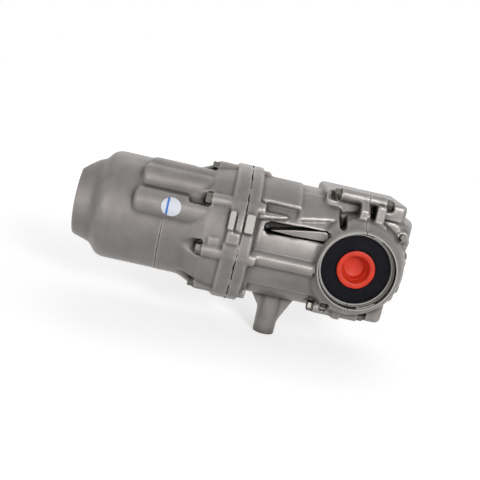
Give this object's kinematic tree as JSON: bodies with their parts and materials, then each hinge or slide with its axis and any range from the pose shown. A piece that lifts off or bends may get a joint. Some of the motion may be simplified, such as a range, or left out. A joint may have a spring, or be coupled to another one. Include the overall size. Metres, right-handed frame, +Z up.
{
  "type": "rear differential",
  "caption": "Rear differential in a cast aluminium housing, with a plate coupling ahead of the pinion, bevel gears inside and plugged side outputs.",
  "frame": {"origin": "centre of the differential, where the output axis crosses the pinion axis", "axes": "+X along the pinion axis from the input nose to the rear cover, -Y out of the left output, +Z up with the leg pointing down"},
  "size_m": [0.413, 0.1739, 0.206],
  "materials": {
    "cast_aluminium": "blasted satin casting",
    "machined_steel": "ground and turned",
    "bolt_steel": "zinc-coated",
    "plate_lining": "paper-lined",
    "black_rubber": "matt",
    "orange_plastic": "moulded, slightly glossy"
  },
  "bodies": {
    "housing": {"front_case": "cast_aluminium", "carrier_case": "cast_aluminium", "rear_cover": "cast_aluminium", "front_case_bolts": "bolt_steel", "front_case_dowels": "machined_steel", "cover_bolts": "bolt_steel", "cover_nuts": "bolt_steel", "fill_plug": "bolt_steel", "drain_plug": "bolt_steel", "vent_plug": "bolt_steel", "input_seal": "black_rubber", "pump_body": "cast_aluminium", "left_output_seal": "black_rubber", "right_output_seal": "black_rubber", "left_side_shim": "machined_steel", "right_side_shim": "machined_steel", "left_carrier_bearing_cup": "machined_steel", "right_carrier_bearing_cup": "machined_steel", "pinion_front_bearing_cup": "machined_steel", "pinion_rear_bearing_cup": "machined_steel", "input_bearing_outer_race": "machined_steel"},
    "input": {"input_hub": "machined_steel", "clutch_drum": "machined_steel", "clutch_steel_plates": "machined_steel", "input_bearing_inner_race": "machined_steel"},
    "input_balls": {"input_bearing_balls": "machined_steel"},
    "pinion": {"drive_pinion": "machined_steel", "pinion_nut": "bolt_steel", "pinion_bearing_spacer": "machined_steel", "clutch_hub": "machined_steel", "clutch_friction_plates": "plate_lining", "pinion_front_bearing_cone": "machined_steel", "pinion_rear_bearing_cone": "machined_steel"},
    "pinion_front_rollers": {"pinion_front_bearing_rollers": "machined_steel", "pinion_front_bearing_cage": "machined_steel"},
    "pinion_rear_rollers": {"pinion_rear_bearing_rollers": "machined_steel", "pinion_rear_bearing_cage": "machined_steel"},
    "differential": {"differential_case": "machined_steel", "ring_gear": "machined_steel", "ring_gear_bolts": "bolt_steel", "spider_cross_pin": "machined_steel", "cross_pin_roll_pin": "machined_steel", "left_carrier_bearing_cone": "machined_steel", "right_carrier_bearing_cone": "machined_steel", "left_side_gear_washer": "machined_steel", "right_side_gear_washer": "machined_steel", "upper_spider_washer": "machined_steel", "lower_spider_washer": "machined_steel"},
    "left_carrier_rollers": {"left_carrier_bearing_rollers": "machined_steel", "left_carrier_bearing_cage": "machined_steel"},
    "right_carrier_rollers": {"right_carrier_bearing_rollers": "machined_steel", "right_carrier_bearing_cage": "machined_steel"},
    "left_gear": {"left_side_gear": "machined_steel"},
    "right_gear": {"right_side_gear": "machined_steel"},
    "upper_spider": {"upper_spider_gear": "machined_steel"},
    "lower_spider": {"lower_spider_gear": "machined_steel"},
    "piston": {"clutch_piston": "machined_steel"},
    "left_plug": {"left_transport_plug": "orange_plastic"},
    "right_plug": {"right_transport_plug": "orange_plastic"}
  },
  "joints": [
    {"name": "differential_spin", "type": "hinge", "parent": "housing", "child": "differential", "pos_m": [0, 0, 0], "axis": [0, 1, 0], "continuous": true},
    {"name": "pinion_spin", "type": "hinge", "parent": "housing", "child": "pinion", "pos_m": [-0.1, 0, 0], "axis": [1, 0, 0], "continuous": true},
    {"name": "pinion_front_rollers_spin", "type": "hinge", "parent": "housing", "child": "pinion_front_rollers", "pos_m": [-0.12, 0, 0], "axis": [1, 0, 0], "continuous": true},
    {"name": "pinion_rear_rollers_spin", "type": "hinge", "parent": "housing", "child": "pinion_rear_rollers", "pos_m": [-0.08, 0, 0], "axis": [1, 0, 0], "continuous": true},
    {"name": "left_carrier_rollers_spin", "type": "hinge", "parent": "housing", "child": "left_carrier_rollers", "pos_m": [0, -0.055, 0], "axis": [0, 1, 0], "continuous": true},
    {"name": "right_carrier_rollers_spin", "type": "hinge", "parent": "housing", "child": "right_carrier_rollers", "pos_m": [0, 0.055, 0], "axis": [0, 1, 0], "continuous": true},
    {"name": "input_spin", "type": "hinge", "parent": "housing", "child": "input", "pos_m": [-0.32, 0, 0], "axis": [1, 0, 0], "continuous": true},
    {"name": "input_balls_spin", "type": "hinge", "parent": "housing", "child": "input_balls", "pos_m": [-0.32, 0, 0], "axis": [1, 0, 0], "continuous": true},
    {"name": "left_gear_spin", "type": "hinge", "parent": "differential", "child": "left_gear", "pos_m": [0, 0, 0], "axis": [0, 1, 0], "continuous": true},
    {"name": "right_gear_spin", "type": "hinge", "parent": "differential", "child": "right_gear", "pos_m": [0, 0, 0], "axis": [0, 1, 0], "continuous": true},
    {"name": "upper_spider_spin", "type": "hinge", "parent": "differential", "child": "upper_spider", "pos_m": [0, 0, 0], "axis": [0, 0, 1], "continuous": true},
    {"name": "lower_spider_spin", "type": "hinge", "parent": "differential", "child": "lower_spider", "pos_m": [0, 0, 0], "axis": [0, 0, 1], "continuous": true},
    {"name": "piston_slide", "type": "slide", "parent": "housing", "child": "piston", "axis": [-1, 0, 0], "range_m": [0, 0.0006]},
    {"name": "left_plug_pull", "type": "slide", "parent": "housing", "child": "left_plug", "axis": [0, -1, 0], "range_m": [0, 0.08]},
    {"name": "right_plug_pull", "type": "slide", "parent": "housing", "child": "right_plug", "axis": [0, 1, 0], "range_m": [0, 0.08]}
  ],
  "couplings": [
    {"joint": "pinion_spin", "follows": "differential_spin", "ratio": 2.5333},
    {"joint": "pinion_front_rollers_spin", "follows": "differential_spin", "ratio": 1.0352},
    {"joint": "pinion_rear_rollers_spin", "follows": "differential_spin", "ratio": 1.0461},
    {"joint": "left_carrier_rollers_spin", "follows": "differential_spin", "ratio": 0.43502},
    {"joint": "right_carrier_rollers_spin", "follows": "differential_spin", "ratio": 0.43502},
    {"joint": "input_balls_spin", "follows": "input_spin", "ratio": 0.4134},
    {"joint": "right_gear_spin", "follows": "left_gear_spin", "ratio": -1},
    {"joint": "upper_spider_spin", "follows": "left_gear_spin", "ratio": 1.4},
    {"joint": "lower_spider_spin", "follows": "left_gear_spin", "ratio": -1.4}
  ]
}
